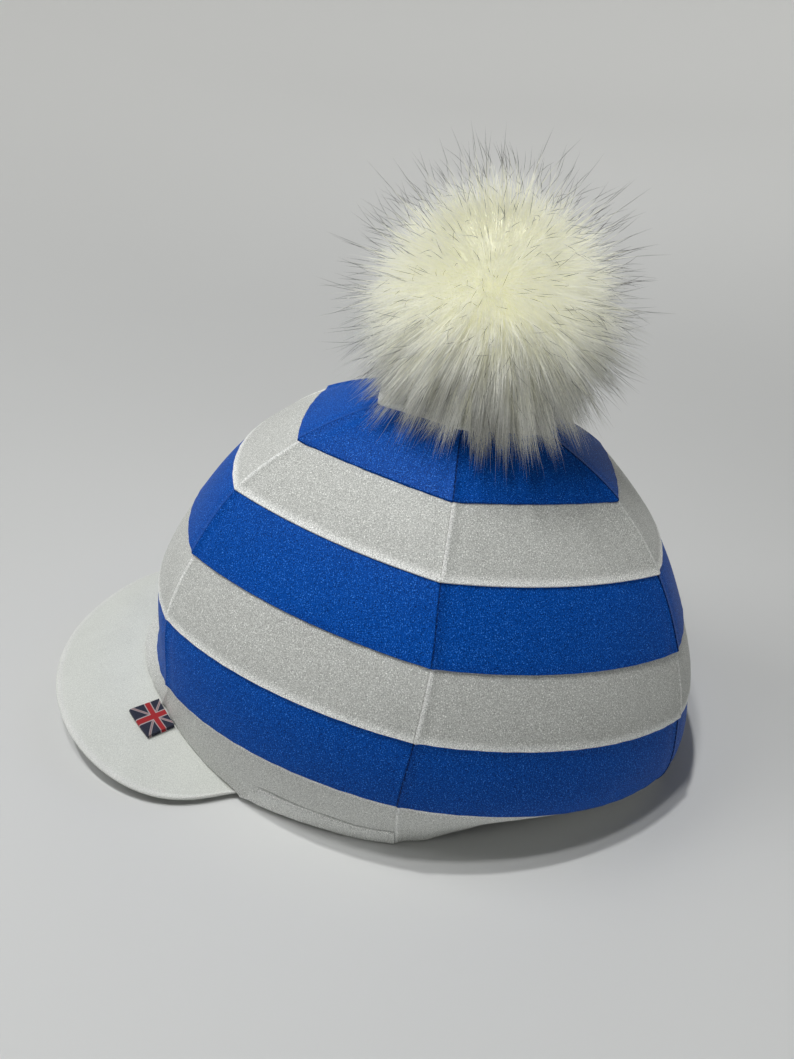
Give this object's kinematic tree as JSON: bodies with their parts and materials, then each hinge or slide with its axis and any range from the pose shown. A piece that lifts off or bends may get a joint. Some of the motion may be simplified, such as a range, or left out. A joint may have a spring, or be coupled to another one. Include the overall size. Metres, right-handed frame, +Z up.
{
  "type": "jockey cap",
  "caption": "Stretch-cloth jockey cap with hooped gores, an arched peak, a folded tag at the brow and a faux-fur pompom.",
  "frame": {"origin": "on the ground, under the middle of the whole cap", "axes": "+Z up, -Y towards the peak's tip, +X towards the wearer's left"},
  "size_m": [0.249, 0.3416, 0.2854],
  "materials": {
    "white_cloth": "white stretch cloth with a fine satin grain",
    "blue_cloth": "royal blue stretch cloth with a fine satin grain",
    "peak_cloth": "white cloth drawn smooth over the stiff peak",
    "tag_ribbon": "woven ribbon in navy, red and white",
    "pompom_fur": "long ivory faux fur with grey tips",
    "press_stud": "plain moulded plastic"
  },
  "bodies": {
    "root": {"crown_tip_front": "white_cloth", "crown_tip_front_left": "white_cloth", "crown_tip_back_left": "white_cloth", "crown_tip_back": "white_cloth", "crown_tip_back_right": "white_cloth", "crown_tip_front_right": "white_cloth", "blue_1_front": "blue_cloth", "blue_1_front_left": "blue_cloth", "blue_1_back_left": "blue_cloth", "blue_1_back": "blue_cloth", "blue_1_back_right": "blue_cloth", "blue_1_front_right": "blue_cloth", "white_1_front": "white_cloth", "white_1_front_left": "white_cloth", "white_1_back_left": "white_cloth", "white_1_back": "white_cloth", "white_1_back_right": "white_cloth", "white_1_front_right": "white_cloth", "blue_2_front": "blue_cloth", "blue_2_front_left": "blue_cloth", "blue_2_back_left": "blue_cloth", "blue_2_back": "blue_cloth", "blue_2_back_right": "blue_cloth", "blue_2_front_right": "blue_cloth", "white_2_front": "white_cloth", "white_2_front_left": "white_cloth", "white_2_back_left": "white_cloth", "white_2_back": "white_cloth", "white_2_back_right": "white_cloth", "white_2_front_right": "white_cloth", "blue_3_front": "blue_cloth", "blue_3_front_left": "blue_cloth", "blue_3_back_left": "blue_cloth", "blue_3_back": "blue_cloth", "blue_3_back_right": "blue_cloth", "blue_3_front_right": "blue_cloth", "hem_front": "white_cloth", "hem_front_left": "white_cloth", "hem_back_left": "white_cloth", "hem_back": "white_cloth", "hem_back_right": "white_cloth", "hem_front_right": "white_cloth", "peak": "peak_cloth", "tag": "tag_ribbon", "pompom": "pompom_fur", "pompom_press_stud": "press_stud"}
  },
  "joints": []
}
